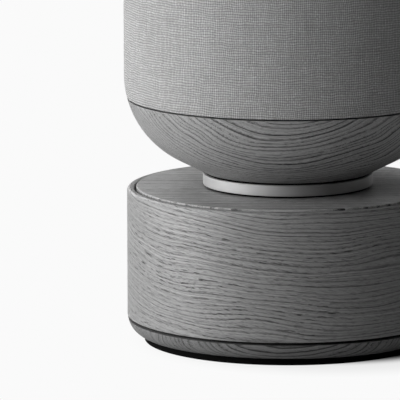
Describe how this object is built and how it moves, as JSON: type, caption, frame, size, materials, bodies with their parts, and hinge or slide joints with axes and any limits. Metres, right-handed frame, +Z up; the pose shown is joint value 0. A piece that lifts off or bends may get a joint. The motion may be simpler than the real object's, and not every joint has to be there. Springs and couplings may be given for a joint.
{
  "type": "smart speaker",
  "caption": "Table-top smart speaker: fabric-covered cylinder on a turned oak bowl, a slim metal neck ring and a round oak base with rear sockets.",
  "frame": {"origin": "centre of the rubber foot, on the surface that the speaker stands on", "axes": "+Z up along the turned body's axis, front towards -Y, sockets towards +Y"},
  "size_m": [0.2, 0.2, 0.38],
  "materials": {
    "oak": "oiled oak, pale, with straight fine grain",
    "woven_fabric": "melange plain-weave cloth",
    "satin_aluminium": "satin, fine blasted and anodised",
    "cast_aluminium": "as cast",
    "foot_rubber": "matt",
    "surround_rubber": "matt",
    "black_plastic": "fine moulded grain",
    "driver_frame_metal": "black powder coat",
    "zinc_steel": "zinc plated",
    "ferrite": "sintered, matt",
    "cone_paper": "pressed fibre",
    "spider_cloth": "resin-stiffened cloth",
    "circuit_board": "solder mask",
    "component_case": "sleeved"
  },
  "bodies": {
    "speaker_body": {"amplifier_board": "circuit_board", "base_screws": "zinc_steel", "base_shell": "oak", "base_top_disc": "oak", "base_tray": "black_plastic", "cabinet": "black_plastic", "cabinet_lid": "black_plastic", "connector_board": "circuit_board", "connector_panel": "black_plastic", "driver_screws": "zinc_steel", "fabric_sleeve": "woven_fabric", "filter_capacitors": "component_case", "foot_ring": "foot_rubber", "grille_frame": "black_plastic", "heat_sink": "cast_aluminium", "left_full_range_frame": "driver_frame_metal", "left_full_range_motor": "zinc_steel", "left_full_range_surround": "surround_rubber", "left_woofer_frame": "driver_frame_metal", "left_woofer_front_plate": "zinc_steel", "left_woofer_magnet": "ferrite", "left_woofer_spider": "spider_cloth", "left_woofer_surround": "surround_rubber", "left_woofer_yoke": "zinc_steel", "line_in_socket": "black_plastic", "lower_neck_gasket": "foot_rubber", "mains_inlet": "black_plastic", "mains_pins": "zinc_steel", "neck_casting": "cast_aluminium", "neck_nut": "zinc_steel", "neck_ring": "satin_aluminium", "network_socket": "black_plastic", "oak_bowl": "oak", "panel_screws": "zinc_steel", "power_board": "circuit_board", "right_full_range_frame": "driver_frame_metal", "right_full_range_motor": "zinc_steel", "right_full_range_surround": "surround_rubber", "right_woofer_frame": "driver_frame_metal", "right_woofer_front_plate": "zinc_steel", "right_woofer_magnet": "ferrite", "right_woofer_spider": "spider_cloth", "right_woofer_surround": "surround_rubber", "right_woofer_yoke": "zinc_steel", "top_frame": "black_plastic", "top_plate": "satin_aluminium", "touch_board": "circuit_board", "transformer": "component_case", "trim_ring": "oak", "tweeter_face_plate": "black_plastic", "tweeter_motor": "zinc_steel", "upper_neck_gasket": "foot_rubber", "wire_harness": "black_plastic"},
    "left_woofer_diaphragm": {"left_woofer_cone": "cone_paper"},
    "right_woofer_diaphragm": {"right_woofer_cone": "cone_paper"},
    "left_full_range_diaphragm": {"left_full_range_cone": "cone_paper"},
    "right_full_range_diaphragm": {"right_full_range_cone": "cone_paper"},
    "tweeter_diaphragm": {"tweeter_dome": "cone_paper"},
    "setup_button": {"setup_button": "black_plastic"},
    "mute_slider": {"mute_slider": "black_plastic"}
  },
  "joints": [
    {"name": "left_woofer_stroke", "type": "slide", "parent": "speaker_body", "child": "left_woofer_diaphragm", "axis": [-1, 0, 0], "range_m": [-0.005, 0.005], "stiffness_N_per_m": 1200, "deforming": ["left_woofer_surround", "left_woofer_spider"]},
    {"name": "right_woofer_stroke", "type": "slide", "parent": "speaker_body", "child": "right_woofer_diaphragm", "axis": [1, 0, 0], "range_m": [-0.005, 0.005], "stiffness_N_per_m": 1200, "deforming": ["right_woofer_surround", "right_woofer_spider"]},
    {"name": "left_full_range_stroke", "type": "slide", "parent": "speaker_body", "child": "left_full_range_diaphragm", "axis": [-0.7193, -0.6947, 0], "range_m": [-0.0025, 0.0025], "stiffness_N_per_m": 800, "deforming": ["left_full_range_surround"]},
    {"name": "right_full_range_stroke", "type": "slide", "parent": "speaker_body", "child": "right_full_range_diaphragm", "axis": [0.7193, -0.6947, 0], "range_m": [-0.0025, 0.0025], "stiffness_N_per_m": 800, "deforming": ["right_full_range_surround"]},
    {"name": "tweeter_stroke", "type": "slide", "parent": "speaker_body", "child": "tweeter_diaphragm", "axis": [0, -1, 0], "range_m": [-0.0004, 0.0004], "stiffness_N_per_m": 2000},
    {"name": "setup_button_press", "type": "slide", "parent": "speaker_body", "child": "setup_button", "axis": [0, -1, 0], "range_m": [0, 0.0008], "stiffness_N_per_m": 300},
    {"name": "mute_slider_slide", "type": "slide", "parent": "speaker_body", "child": "mute_slider", "axis": [1, 0, 0], "range_m": [0, 0.003]}
  ]
}
